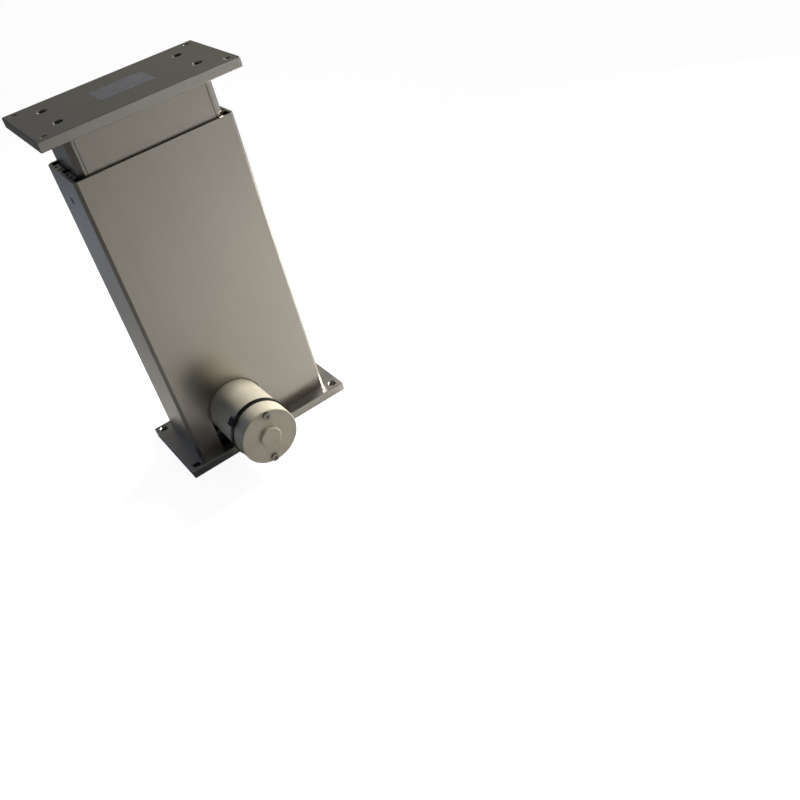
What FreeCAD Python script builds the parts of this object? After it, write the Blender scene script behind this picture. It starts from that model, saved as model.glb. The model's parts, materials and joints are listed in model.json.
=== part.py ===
"""Electric lifting column: two telescoping aluminium tubes between a base plate and a top plate.

A motor that lies across the column, low down on its front, turns a worm. The worm turns a wheel
on an upright spindle, and the spindle pushes a nut and its push tube up under the top plate.

Millimetres, +Z up, +X to the right and the motor towards -Y. The origin is the middle of the
base plate's underside. The model is in the closed position.
"""
import FreeCAD, Part
import Sketcher
import math
import os

doc = FreeCAD.newDocument("lifting_column")
sheet = doc.addObject("Spreadsheet::Sheet", "Sizes")

SIZES = {
    # Plates, alike at both ends
    "plate_margin_x": 18.5,
    "plate_margin_y": 17.5,
    "plate_edge": 0.8,
    "base_thickness": 11,
    "top_thickness": 11,
    "bolt_inset": 10,
    "base_hole_radius": 4.5,
    "base_hole_edge": 1,
    "top_hole_radius": 3.4,
    "top_hole_edge": 0.5,
    # Column
    "outer_width": 183,
    "outer_depth": 85,
    "outer_wall": 3,
    "outer_corner": 3.6,
    "outer_length": 367,
    "closed_gap": 44,
    "rib_clearance": 0.8,
    "inner_wall": 3,
    "inner_corner": 6,
    "inner_clearance": 20,
    "stroke_reserve": 5,
    # Screw ports and grooves of the two extrusions
    "outer_port_radius": 2.1,
    "outer_port_spacing": 11.6,
    "outer_rib_reach": 5.2,
    "outer_rib_margin": 6.3,
    "inner_port_inset": 12.4,
    "inner_port_radius": 2.6,
    "inner_port_wall": 2.8,
    "inner_port_skin": 0.1,
    "groove_inset": 9,
    "groove_width": 0.7,
    "groove_depth": 0.5,
    # Glide pads
    "slide_gap": 0.3,
    "pad_side_gap": 0.4,
    "pad_height": 34,
    "upper_pad_top_inset": 13,
    "face_pad_thickness": 1,
    "face_pad_width": 40,
    "face_pad_inset": 6.5,
    "button_radius": 4,
    "button_margin": 0.6,
    "button_recess": 0.6,
    # Fits
    "fit_gap": 0.03,
    "turning_gap": 0.05,
    "overcut": 1,
    # Screws
    "top_screw_radius": 3,
    "top_screw_head_radius": 5,
    "top_screw_head_height": 6,
    "top_screw_length": 40,
    "top_screw_sink": 1.5,
    "top_socket_radius": 2.9,
    "top_socket_depth": 3,
    "counterbore_gap": 0.25,
    "counterbore_edge": 0.4,
    "rib_screw_head_radius": 4.6,
    "rib_screw_length": 30,
    "rib_socket_radius": 1.5,
    "rib_socket_depth": 2,
    "gearbox_screw_radius": 3,
    "gearbox_screw_head_radius": 6,
    "gearbox_socket_radius": 2,
    "gearbox_socket_depth": 2.8,
    "cover_screw_radius": 2.5,
    "cover_screw_head_radius": 4.3,
    "cover_screw_head_height": 4,
    "cover_screw_length": 20,
    # Worm drive, with the depth and rise of its teeth in modules
    "gear_module": 1.25,
    "wheel_teeth": 29,
    "worm_pitch_radius": 6.875,
    "worm_half_length": 12,
    "tooth_depth": 1.25,
    "tooth_rise": 1,
    "flank_slope": 0.364,
    "tooth_clearance": 0.32,
    "wheel_width": 14,
    "throat_rise": 0.9,
    "hub_radius": 12.5,
    "hub_height": 18,
    "hub_gap_below": 6,
    "hub_gap_above": 8,
    "key_width": 5,
    "key_length": 12,
    "key_rise": 2.2,
    # Spindle
    "spindle_radius": 10,
    "journal_shoulder": 1.5,
    "journal_step": 0.5,
    "spindle_reserve": 6,
    "stop_height": 5,
    "stop_gap": 0.5,
    "stop_screw_radius": 3,
    "stop_screw_length": 16,
    "stop_screw_head_radius": 5.1,
    "stop_screw_head_height": 3,
    "spacer_radius": 10,
    # Nut and push tube
    "push_tube_radius": 16,
    "push_tube_wall": 3,
    "nut_clearance": 10,
    "nut_flange_height": 6,
    "nut_flange_reach": 3.7,
    "nut_length": 36,
    "nut_pin_radius": 1.5,
    "tube_recess": 4,
    # Gearbox
    "gearbox_left_wall": 4,
    "gearbox_right_wall": 12.5,
    "gearbox_front": 29,
    "gearbox_back": 31,
    "gearbox_corner": 6,
    "foot_length": 14,
    "foot_height": 7,
    "foot_width": 46,
    "foot_screw_y": 15,
    "cover_thickness": 6,
    "cover_screw_inset": 6.5,
    "chamber_gap": 1.225,
    "worm_bore_radius": 9.5,
    "worm_plug_thickness": 6,
    "spigot_depth": 14,
    "spigot_floor": 2,
    # Bearings: outer radius and width, and the radius between the two rings
    "spindle_bearing_radius": 17.5,
    "bearing_sink": 1,
    "lower_bearing_width": 11,
    "upper_bearing_width": 10,
    "small_bearing_radius": 11,
    "small_bearing_width": 7,
    "front_bearing_radius": 13,
    "front_bearing_width": 8,
    "ring_share": 0.3,
    "ring_recess": 0.8,
    # Motor
    "motor_floor_gap": 5,
    "motor_radius": 35,
    "motor_wall": 2.5,
    "motor_slot_gap": 1,
    "can_rear_space": 14,
    "front_flange_thickness": 6,
    "front_spigot_wall": 3,
    "front_spigot_floor": 2,
    "shaft_passage": 1.5,
    "end_cap_length": 24,
    "end_cap_face": 3.5,
    "end_cap_edge": 0.8,
    "boss_wall": 2,
    "boss_height": 4,
    "boss_skin": 1.5,
    "boss_edge": 1.2,
    "cap_screw_angle": 82,
    "cap_screw_radius": 2.5,
    "cap_screw_head_radius": 4.6,
    "cap_screw_head_height": 3.2,
    "cross_slot_width": 1.1,
    "cross_slot_length": 5.2,
    "cross_slot_depth": 1.6,
    "strap_width": 5,
    "strap_thickness": 1.7,
    "strap_overlap": 1.4,
    "clasp_angle": 136,
    "clasp_length": 9.5,
    "clasp_width": 8,
    "clasp_height": 6.5,
    # Motor internals
    "shaft_radius": 5,
    "rear_journal_radius": 4,
    "magnet_thickness": 7,
    "air_gap": 1,
    "armature_length": 42,
    "armature_start": 14,
    "armature_slots": 12,
    "armature_slot_width": 3,
    "armature_slot_depth": 9,
    "winding_inset": 3.5,
    "winding_length": 6,
    "magnet_overhang": 3,
    "magnet_angle": 110,
    "commutator_radius": 11,
    "commutator_length": 14,
    "commutator_gap": 2,
    "brush_plate_thickness": 3,
    "brush_plate_clearance": 3,
    "brush_width": 6,
    "brush_length": 12,
    # Limit switches
    "rail_thickness": 2,
    "rail_width": 14,
    "rail_end": 24,
    "rail_foot": 8,
    "switch_width": 12.8,
    "switch_height": 10,
    "switch_depth": 6.3,
    "plunger_radius": 1.2,
    "plunger_length": 1.7,
    # Cable inlet at the back
    "inlet_inset": 31.5,
    "inlet_rise": 19,
    "inlet_radius": 7,
    "grommet_flange": 2,
    "grommet_bore": 4,
}

for row, (alias, value) in enumerate(SIZES.items(), start=1):
    sheet.set(f"A{row}", alias.replace("_", " "))
    sheet.set(f"B{row}", str(value))
    sheet.setAlias(f"B{row}", alias)
doc.recompute()


class Size:
    """A length that carries its value now and the sheet expression that it comes from."""

    def __init__(self, value, text):
        self.value = value
        self.text = text

    def __add__(self, other):
        other = as_size(other)
        return Size(self.value + other.value, f"({self.text} + {other.text})")

    def __sub__(self, other):
        other = as_size(other)
        return Size(self.value - other.value, f"({self.text} - {other.text})")

    def __mul__(self, other):
        other = as_size(other)
        return Size(self.value * other.value, f"({self.text} * {other.text})")

    def __truediv__(self, other):
        other = as_size(other)
        return Size(self.value / other.value, f"({self.text} / {other.text})")

    def __neg__(self):
        return Size(-self.value, f"(0 - {self.text})")

    def __radd__(self, other):
        return as_size(other) + self

    def __rsub__(self, other):
        return as_size(other) - self

    def __rmul__(self, other):
        return as_size(other) * self


def as_size(value):
    return value if isinstance(value, Size) else Size(value, repr(value))


def whole(length):
    """The nearest whole number, for a count of turns."""
    return Size(round(length.value), f"round({length.text})")


def size(alias):
    """The named cell of the sheet."""
    return Size(float(sheet.get(alias)), f"Sizes.{alias}")


def bind(obj, prop, length):
    """Sets a property from the sheet, so that it follows the cell."""
    obj.setExpression(prop, as_size(length).text)


# Places that several pieces share
overcut = size("overcut")
base_top = size("base_thickness")
outer_top = base_top + size("outer_length")
top_plate_bottom = outer_top + size("closed_gap")
top_face = top_plate_bottom + size("top_thickness")
top_screw_head = top_face - size("top_screw_sink")
top_screw_seat = top_screw_head - size("top_screw_head_height")
top_screw_end = top_screw_seat - size("top_screw_length")
outer_x = size("outer_width") / 2
outer_y = size("outer_depth") / 2
plate_half_x = outer_x + size("plate_margin_x")
plate_half_y = outer_y + size("plate_margin_y")
bolt_x = plate_half_x - size("bolt_inset")
bolt_y = plate_half_y - size("bolt_inset")
bore_x = outer_x - size("outer_wall")
bore_y = outer_y - size("outer_wall")
rib_x = bore_x - size("outer_rib_reach")
rib_start = size("button_radius") + size("button_margin") + size("pad_side_gap")
outer_port_near = rib_start + size("outer_rib_margin")
outer_port_far = outer_port_near + size("outer_port_spacing")
rib_end = outer_port_far + size("outer_rib_margin")
outer_port_x = (rib_x + outer_x) / 2
inlet_x = outer_x - size("inlet_inset")
inlet_z = base_top + size("inlet_rise")
inner_x = rib_x - size("rib_clearance")
inner_y = bore_y - size("face_pad_thickness") - size("slide_gap")
inner_boss_radius = size("inner_port_radius") + size("inner_port_wall")
inner_port_x = inner_x - inner_boss_radius - size("inner_port_skin")
inner_port_y = inner_y - size("inner_port_inset")
face_pad_half = size("face_pad_width") / 2
face_pad_x = inner_x - size("inner_corner") - size("face_pad_inset") - face_pad_half

worm_lead = size("gear_module") * math.pi
tooth_depth = size("gear_module") * size("tooth_depth")
tooth_rise = size("gear_module") * size("tooth_rise")
wheel_pitch_radius = size("gear_module") * size("wheel_teeth") / 2
wheel_tip_radius = wheel_pitch_radius + tooth_rise
wheel_root_radius = wheel_pitch_radius - tooth_depth
wheel_rim_radius = wheel_tip_radius + size("throat_rise")
worm_root_radius = size("worm_pitch_radius") - tooth_depth
worm_tip_radius = size("worm_pitch_radius") + tooth_rise
worm_side_turns = whole(size("worm_half_length") / worm_lead)
chamber_radius = wheel_rim_radius + size("chamber_gap")
motor_x = -(wheel_pitch_radius + size("worm_pitch_radius"))
motor_z = base_top + size("motor_floor_gap") + size("motor_radius")
front_spigot_radius = size("front_bearing_radius") + size("front_spigot_wall")
gearbox_left = motor_x - front_spigot_radius - size("gearbox_left_wall")
gearbox_right = chamber_radius + size("gearbox_right_wall")
gearbox_front = -size("gearbox_front")
gearbox_back = size("gearbox_back")
hub_bottom = motor_z - size("hub_height") / 2
hub_top = motor_z + size("hub_height") / 2
chamber_floor = hub_bottom - size("hub_gap_below")
spigot_bottom = hub_top + size("hub_gap_above")
gearbox_top = spigot_bottom + size("spigot_depth")
cover_top = gearbox_top + size("cover_thickness")
lower_bearing_top = chamber_floor - size("bearing_sink")
lower_bearing_bottom = lower_bearing_top - size("lower_bearing_width")
upper_bearing_bottom = spigot_bottom + size("spigot_floor")
upper_bearing_top = upper_bearing_bottom + size("upper_bearing_width")

can_front = gearbox_front - size("front_flange_thickness")
front_bearing_end = can_front + size("front_bearing_width")
spigot_end = front_bearing_end + size("front_spigot_floor")
armature_end = can_front - size("armature_start")
armature_far_end = armature_end - size("armature_length")
can_end = armature_far_end - size("can_rear_space")
cap_face = can_end - size("end_cap_length")
boss_radius = size("small_bearing_radius") + size("boss_wall")
boss_face = cap_face - size("boss_height")
rear_bearing_end = boss_face + size("boss_skin")
rear_bearing_start = rear_bearing_end + size("small_bearing_width")
worm_bearing_end = gearbox_back - size("worm_plug_thickness")
worm_bearing_start = worm_bearing_end - size("small_bearing_width")
can_bore = size("motor_radius") - size("motor_wall")
magnet_bore = can_bore - size("magnet_thickness")
armature_radius = magnet_bore - size("air_gap")
commutator_start = armature_far_end - size("winding_length") - size("commutator_gap")
commutator_end = commutator_start - size("commutator_length")
cap_screw_circle = (can_bore + magnet_bore) / 2

inner_bottom = cover_top + size("cover_screw_head_height") + size("inner_clearance")
lower_pad_top = inner_bottom + size("pad_height")
upper_pad_top = outer_top - size("upper_pad_top_inset")
upper_pad_bottom = upper_pad_top - size("pad_height")
lift_stroke = upper_pad_bottom - lower_pad_top - size("stroke_reserve")
upper_journal_radius = size("spindle_radius") - size("journal_shoulder")
wheel_seat_radius = upper_journal_radius - size("journal_step")
lower_journal_radius = wheel_seat_radius - size("journal_step")
nut_bottom = cover_top + size("nut_clearance")
nut_flange_top = nut_bottom + size("nut_flange_height")
nut_top = nut_bottom + size("nut_length")
nut_flange_radius = size("push_tube_radius") + size("nut_flange_reach")
push_tube_bore = size("push_tube_radius") - size("push_tube_wall")
nut_pin_end = (size("spindle_radius") + push_tube_bore) / 2
spindle_top = nut_top + lift_stroke + size("spindle_reserve")
plunger_end = nut_flange_radius + size("slide_gap")
switch_face = plunger_end + size("plunger_length")
rail_x = switch_face + size("switch_depth")

pieces = []


def piece(obj, label):
    """Names a finished sub-part, so that it is checked and written as a file of that name."""
    obj.Label = label
    pieces.append(obj)
    return obj


# Part workbench: primitives and booleans
def box(name, low, high):
    """A box between two corners, each given as x, y and z."""
    obj = doc.addObject("Part::Box", name)
    for side, start, end in zip(("Length", "Width", "Height"), low, high):
        bind(obj, side, as_size(end) - start)
    for axis, start in zip("xyz", low):
        bind(obj, f"Placement.Base.{axis}", start)
    return obj


TURN = {
    "X": FreeCAD.Rotation(FreeCAD.Vector(0, 1, 0), 90),
    "Y": FreeCAD.Rotation(FreeCAD.Vector(1, 0, 0), -90),
    "Z": FreeCAD.Rotation(),
}


def along(obj, direction, across, start):
    """Turns a primitive to run along +X, +Y or +Z from start, at the two places across it."""
    obj.Placement = FreeCAD.Placement(FreeCAD.Vector(), TURN[direction])
    other = [axis for axis in "XYZ" if axis != direction]
    places = {direction: start, other[0]: across[0], other[1]: across[1]}
    for axis in "XYZ":
        bind(obj, f"Placement.Base.{axis.lower()}", places[axis])
    return obj


def cylinder(name, direction, across, radius, start, end):
    obj = doc.addObject("Part::Cylinder", name)
    bind(obj, "Radius", radius)
    bind(obj, "Height", as_size(end) - start)
    return along(obj, direction, across, start)


def cone(name, direction, across, start_radius, end_radius, start, end):
    obj = doc.addObject("Part::Cone", name)
    bind(obj, "Radius1", start_radius)
    bind(obj, "Radius2", end_radius)
    bind(obj, "Height", as_size(end) - start)
    return along(obj, direction, across, start)


def group(name, members):
    obj = doc.addObject("Part::Compound", name)
    obj.Links = members
    return obj


def fuse(name, members):
    obj = doc.addObject("Part::MultiFuse", name)
    obj.Shapes = members
    return obj


def cut(name, base, tools):
    obj = doc.addObject("Part::Cut", name)
    obj.Base = base
    obj.Tool = tools[0] if len(tools) == 1 else group(name + "_tools", tools)
    return obj


def ring(name, direction, across, radius, bore, start, end):
    """A ring or tube: a cylinder with a bore that runs past both of its ends."""
    outside = cylinder(name + "_outside", direction, across, radius, start, end)
    hole = cylinder(name + "_bore", direction, across, bore,
                    as_size(start) - overcut, as_size(end) + overcut)
    return cut(name + "_ring", outside, [hole])


def corners(x, y):
    """The four places at plus and minus x and y."""
    return [(x * sx, y * sy) for sx in (-1, 1) for sy in (-1, 1)]


# PartDesign: bodies made from sketches
def plane_of(body, role):
    return next(item for item in body.Origin.OriginFeatures if item.Role == role)


def sketch_on(body, name, role, height=0, shift=(0, 0)):
    """A sketch on one of the body's own planes, moved along the plane's normal by height."""
    sketch = body.newObject("Sketcher::SketchObject", name)
    sketch.AttachmentSupport = [(plane_of(body, role), "")]
    sketch.MapMode = "FlatFace"
    bind(sketch, "AttachmentOffset.Base.x", shift[0])
    bind(sketch, "AttachmentOffset.Base.y", shift[1])
    bind(sketch, "AttachmentOffset.Base.z", height)
    return sketch


def fix_point(sketch, line, end, x, y):
    """Ties one end of a line, or a circle's centre, to its place."""
    for kind, length, own_axis in (("DistanceX", as_size(x), -2), ("DistanceY", as_size(y), -1)):
        if length.text == "0":
            sketch.addConstraint(Sketcher.Constraint("PointOnObject", line, end, own_axis))
        else:
            number = sketch.addConstraint(
                Sketcher.Constraint(kind, -1, 1, line, end, length.value))
            bind(sketch, f"Constraints[{number}]", length)


def outline(sketch, points):
    """A closed outline of straight lines, with every corner tied to the sheet."""
    first = sketch.GeometryCount
    places = [FreeCAD.Vector(as_size(x).value, as_size(y).value, 0) for x, y in points]
    for here, there in zip(places, places[1:] + places[:1]):
        sketch.addGeometry(Part.LineSegment(here, there), False)
    count = len(points)
    for number, (x, y) in enumerate(points):
        sketch.addConstraint(Sketcher.Constraint(
            "Coincident", first + number, 2, first + (number + 1) % count, 1))
        fix_point(sketch, first + number, 1, x, y)


def circle(sketch, x, y, radius):
    radius = as_size(radius)
    centre = FreeCAD.Vector(as_size(x).value, as_size(y).value, 0)
    line = sketch.addGeometry(
        Part.Circle(centre, FreeCAD.Vector(0, 0, 1), radius.value), False)
    fix_point(sketch, line, 3, x, y)
    number = sketch.addConstraint(Sketcher.Constraint("Radius", line, radius.value))
    bind(sketch, f"Constraints[{number}]", radius)


def rectangle(x0, x1, y0, y1):
    return [(x0, y0), (x1, y0), (x1, y1), (x0, y1)]


def chamfered(half_x, half_y, corner):
    """A rectangle about the origin with its four corners cut off."""
    cut_x, cut_y = half_x - corner, half_y - corner
    return [(-cut_x, -half_y), (cut_x, -half_y), (half_x, -cut_y), (half_x, cut_y),
            (cut_x, half_y), (-cut_x, half_y), (-half_x, cut_y), (-half_x, -cut_y)]


def new_body(name):
    return doc.addObject("PartDesign::Body", name)


def pad(body, sketch, length, name):
    feature = body.newObject("PartDesign::Pad", name)
    feature.Profile = sketch
    bind(feature, "Length", length)
    return feature


def pocket(body, sketch, length, name, midplane=False):
    feature = body.newObject("PartDesign::Pocket", name)
    feature.Profile = sketch
    if length is None:
        feature.Type = "ThroughAll"
    else:
        bind(feature, "Length", length)
    if midplane:
        feature.SideType = "Symmetric"
    return feature


def around(body, feature, copies, axis_role, name):
    """Repeats a feature in equal steps of a full turn about one of the body's axes."""
    pattern = body.newObject("PartDesign::PolarPattern", name)
    pattern.Originals = [feature]
    pattern.Axis = (plane_of(body, axis_role), [""])
    pattern.Angle = 360
    bind(pattern, "Occurrences", copies)
    body.Tip = pattern
    return pattern


def turned(name, on_motor_axis, points):
    """A turned body. Points are radius and place along the spindle, or along the motor's axis."""
    body = new_body(name)
    if on_motor_axis:
        sketch = sketch_on(body, name + "_half", "XY_Plane", motor_z, (motor_x, 0))
    else:
        sketch = sketch_on(body, name + "_half", "XZ_Plane")
    outline(sketch, points)
    revolution = body.newObject("PartDesign::Revolution", name + "_turned")
    revolution.Profile = sketch
    revolution.ReferenceAxis = (sketch, ["V_Axis"])
    revolution.Angle = 360
    return body


def edges_where(feature, wanted):
    """The names of a feature's edges that satisfy a test, for a fillet or chamfer."""
    return [f"Edge{number}" for number, edge in enumerate(feature.Shape.Edges, start=1)
            if wanted(edge)]


def soften(body, kind, feature, wanted, amount, name):
    """A chamfer or fillet on the edges of the body's last feature that satisfy a test."""
    doc.recompute()
    edge_names = edges_where(feature, wanted)
    edge_feature = body.newObject(f"PartDesign::{kind}", name)
    edge_feature.Base = (feature, edge_names)
    bind(edge_feature, "Size" if kind == "Chamfer" else "Radius", amount)
    return edge_feature


def is_straight(edge):
    return isinstance(edge.Curve, Part.Line)


def is_upright(edge):
    return is_straight(edge) and abs(edge.tangentAt(edge.FirstParameter).z) > 0.99


def at_height(edge, height):
    box_of = edge.BoundBox
    return abs(box_of.ZMin - height.value) < 1e-6 and abs(box_of.ZMax - height.value) < 1e-6


def plate(name, bottom, thickness, hole_radius, hole_edge):
    """An end plate with bevelled edges and its four corner holes, as a body."""
    body = new_body(name)
    sketch = sketch_on(body, name + "_outline", "XY_Plane", bottom)
    outline(sketch, rectangle(-plate_half_x, plate_half_x, -plate_half_y, plate_half_y))
    slab = pad(body, sketch, thickness, name + "_slab")
    soften(body, "Chamfer", slab, lambda edge: True, size("plate_edge"), name + "_edges")
    holes = sketch_on(body, name + "_bolt_holes", "XY_Plane", bottom + thickness)
    for x, y in corners(bolt_x, bolt_y):
        circle(holes, x, y, hole_radius)
    drilled = pocket(body, holes, None, name + "_drilled")
    soften(body, "Chamfer", drilled,
           lambda edge: not is_straight(edge)
           and abs(edge.Curve.Radius - hole_radius.value) < 1e-6
           and at_height(edge, bottom + thickness),
           hole_edge, name + "_hole_edges")
    return body


def sunk_hole(name, x, y, radius, head_radius, depth):
    """The tool for a hole from the base plate's underside, countersunk for a flush head."""
    head = head_radius - radius
    sink = cone(name + "_sink", "Z", (x, y), head_radius, radius, as_size(0), head)
    shank = cylinder(name + "_shank", "Z", (x, y), radius, as_size(0), depth)
    return fuse(name, [sink, shank])


def socketed(name, shape, x, y, socket_radius, low, socket_depth):
    """Cuts an upright hexagon socket into a screw."""
    socket = doc.addObject("Part::Prism", name + "_socket")
    socket.Polygon = 6
    bind(socket, "Circumradius", socket_radius)
    bind(socket, "Height", socket_depth)
    bind(socket, "Placement.Base.x", x)
    bind(socket, "Placement.Base.y", y)
    bind(socket, "Placement.Base.z", low)
    return cut(name, shape, [socket])


def sunk_screw(name, x, y, radius, head_radius, length, socket_radius, socket_depth):
    """A countersunk screw, its head flush with the base plate's underside."""
    shape = sunk_hole(name + "_blank", x, y, radius, head_radius, length)
    return socketed(name, shape, x, y, socket_radius, as_size(0), socket_depth)


def base_plate():
    """The plate on the floor, drilled from below for the tube and gearbox screws."""
    blank = plate("base_blank", as_size(0), size("base_thickness"),
                  size("base_hole_radius"), size("base_hole_edge"))
    tools = []
    for number, (x, y) in enumerate(rib_screw_places()):
        tools.append(sunk_hole(f"rib_screw_hole_{number}", x, y,
                               size("outer_port_radius") + size("fit_gap"),
                               size("rib_screw_head_radius") + size("fit_gap"),
                               base_top + overcut))
    for number, (x, y) in enumerate(foot_screw_places()):
        tools.append(sunk_hole(f"foot_screw_hole_{number}", x, y,
                               size("gearbox_screw_radius") + size("fit_gap"),
                               size("gearbox_screw_head_radius") + size("fit_gap"),
                               base_top + overcut))
    piece(cut("base_plate_body", blank, tools), "base_plate")


def rib_screw_places():
    """Both screw ports of each of the outer tube's four ribs."""
    return corners(outer_port_x, outer_port_near) + corners(outer_port_x, outer_port_far)


def foot_screw_places():
    middle = size("foot_length") / 2
    return [(x, size("foot_screw_y") * side)
            for x in (gearbox_left - middle, gearbox_right + middle)
            for side in (-1, 1)]


def top_plate():
    """The plate that carries the load, counterbored in its top face for the tube screws."""
    blank = plate("top_blank", top_plate_bottom, size("top_thickness"),
                  size("top_hole_radius"), size("top_hole_edge"))
    bore = size("top_screw_head_radius") + size("counterbore_gap")
    edge = size("counterbore_edge")
    tools = [cylinder("push_tube_recess", "Z", (0, 0), size("push_tube_radius") + size("fit_gap"),
                      top_plate_bottom - overcut, top_plate_bottom + size("tube_recess"))]
    for place in corners(inner_port_x, inner_port_y):
        tools.append(fuse("top_screw_hole", [
            cylinder("top_screw_passage", "Z", place, size("top_screw_radius") + size("fit_gap"),
                     top_plate_bottom - overcut, top_screw_seat),
            cylinder("counterbore", "Z", place, bore, top_screw_seat, top_face + overcut),
            cone("counterbore_rim", "Z", place, bore, bore + edge, top_face - edge, top_face)]))
    piece(cut("top_plate_body", blank, tools), "top_plate")


def outer_tube():
    """The fixed extrusion: walls, four screw ribs inside, the motor slot and the pad holes."""
    body = new_body("outer_tube_body")
    walls = sketch_on(body, "outer_profile", "XY_Plane", base_top)
    outline(walls, chamfered(outer_x, outer_y, size("outer_corner")))
    outline(walls, rectangle(-bore_x, bore_x, -bore_y, bore_y))
    pad(body, walls, size("outer_length"), "outer_walls")
    ribs = sketch_on(body, "rib_profile", "XY_Plane", base_top)
    wall_middle = (bore_x + outer_x) / 2
    for side in (-1, 1):
        for depth in (-1, 1):
            outline(ribs, rectangle(rib_x * side, wall_middle * side,
                                    rib_start * depth, rib_end * depth))
    pad(body, ribs, size("outer_length"), "outer_ribs")
    ports = sketch_on(body, "outer_ports", "XY_Plane", outer_top)
    for x, y in rib_screw_places():
        circle(ports, x, y, size("outer_port_radius"))
    pocket(body, ports, None, "outer_ports_cut")
    slot_radius = size("motor_radius") + size("motor_slot_gap")
    round_top = sketch_on(body, "slot_round", "XZ_Plane", outer_y + overcut)
    circle(round_top, motor_x, motor_z, slot_radius)
    pocket(body, round_top, size("outer_wall") + 2 * overcut, "slot_round_cut")
    legs = sketch_on(body, "slot_legs", "XZ_Plane", outer_y + overcut)
    outline(legs, rectangle(motor_x - slot_radius, motor_x + slot_radius,
                            base_top - overcut, motor_z))
    pocket(body, legs, size("outer_wall") + 2 * overcut, "slot_legs_cut")
    buttons = sketch_on(body, "outer_button_holes", "YZ_Plane")
    circle(buttons, 0, (upper_pad_top + upper_pad_bottom) / 2, size("button_radius"))
    pocket(body, buttons, 2 * (outer_x + overcut), "outer_buttons_cut", midplane=True)
    inlet = sketch_on(body, "inlet_hole", "XZ_Plane", -outer_y - overcut)
    circle(inlet, inlet_x, inlet_z, size("inlet_radius"))
    hole = pocket(body, inlet, size("outer_wall") + 2 * overcut, "inlet_cut")
    hole.Reversed = True
    piece(body, "outer_tube")


def inner_tube():
    """The moving extrusion: walls with corner screw ports, grooved faces and pad holes."""
    body = new_body("inner_tube_body")
    length = top_plate_bottom - inner_bottom
    bore_half_x = inner_x - size("inner_wall")
    bore_half_y = inner_y - size("inner_wall")
    walls = sketch_on(body, "inner_profile", "XY_Plane", inner_bottom)
    outline(walls, chamfered(inner_x, inner_y, size("inner_corner")))
    outline(walls, chamfered(bore_half_x, bore_half_y, size("inner_corner") - size("inner_wall") / 2))
    pad(body, walls, length, "inner_walls")
    bosses = sketch_on(body, "inner_port_bosses", "XY_Plane", inner_bottom)
    for x, y in corners(inner_port_x, inner_port_y):
        circle(bosses, x, y, inner_boss_radius)
    pad(body, bosses, length, "inner_bosses")
    ports = sketch_on(body, "inner_ports", "XY_Plane", top_plate_bottom)
    for x, y in corners(inner_port_x, inner_port_y):
        circle(ports, x, y, size("inner_port_radius"))
    pocket(body, ports, None, "inner_ports_cut")
    tapped = sketch_on(body, "inner_tapped_holes", "XY_Plane", top_plate_bottom)
    for x, y in corners(inner_port_x, inner_port_y):
        circle(tapped, x, y, size("top_screw_radius") + size("fit_gap"))
    pocket(body, tapped, top_plate_bottom - top_screw_end + overcut, "inner_tapped_cut")
    grooves = sketch_on(body, "inner_grooves", "XY_Plane", top_plate_bottom)
    groove_x = inner_x - size("groove_inset")
    half = size("groove_width") / 2
    for side in (-1, 1):
        for depth in (-1, 1):
            outline(grooves, rectangle(
                groove_x * side - half, groove_x * side + half,
                (inner_y - size("groove_depth")) * depth, (inner_y + overcut) * depth))
    pocket(body, grooves, None, "inner_grooves_cut")
    buttons = sketch_on(body, "inner_button_holes", "YZ_Plane")
    circle(buttons, 0, (inner_bottom + lower_pad_top) / 2, size("button_radius"))
    pocket(body, buttons, 2 * (inner_x + overcut), "inner_buttons_cut", midplane=True)
    piece(body, "inner_tube")


def side_pad(name, side, low_x, high_x, button_end, bottom, top):
    """A side glide pad with a round button that snaps into the hole of its own tube."""
    half_y = rib_start - size("pad_side_gap")
    ends = sorted((low_x * side, high_x * side), key=lambda place: place.value)
    block = box(name + "_block", (ends[0], -half_y, bottom), (ends[1], half_y, top))
    reach = sorted(((low_x + high_x) / 2 * side, button_end * side), key=lambda place: place.value)
    button = cylinder(name + "_button", "X", (0, (bottom + top) / 2),
                      size("button_radius") - size("fit_gap"), reach[0], reach[1])
    return fuse(name, [block, button])


def glide_pads():
    """Upper pads sit in the outer tube and lower pads ride on the inner tube."""
    upper = [side_pad(f"upper_pad_{side}", side, inner_x + size("slide_gap"), bore_x,
                      outer_x - size("button_recess"), upper_pad_bottom, upper_pad_top)
             for side in (-1, 1)]
    piece(group("upper_side_pads", upper), "upper_side_guides")
    lower = [side_pad(f"lower_pad_{side}", side, inner_x, bore_x - size("slide_gap"),
                      inner_x - size("inner_wall") + size("button_recess"),
                      inner_bottom, lower_pad_top)
             for side in (-1, 1)]
    piece(group("lower_side_pads", lower), "lower_side_guides")
    for name, low_y, high_y, bottom, top in (
            ("upper_face_guides", inner_y + size("slide_gap"), bore_y,
             upper_pad_bottom, upper_pad_top),
            ("lower_face_guides", inner_y, bore_y - size("slide_gap"),
             inner_bottom, lower_pad_top)):
        strips = []
        for x in (-face_pad_x, face_pad_x):
            left, right = x - face_pad_half, x + face_pad_half
            strips.append(box(name + "_strip", (left, low_y, bottom), (right, high_y, top)))
            strips.append(box(name + "_strip", (left, -high_y, bottom), (right, -low_y, top)))
        piece(group(name + "_group", strips), name)


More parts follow.
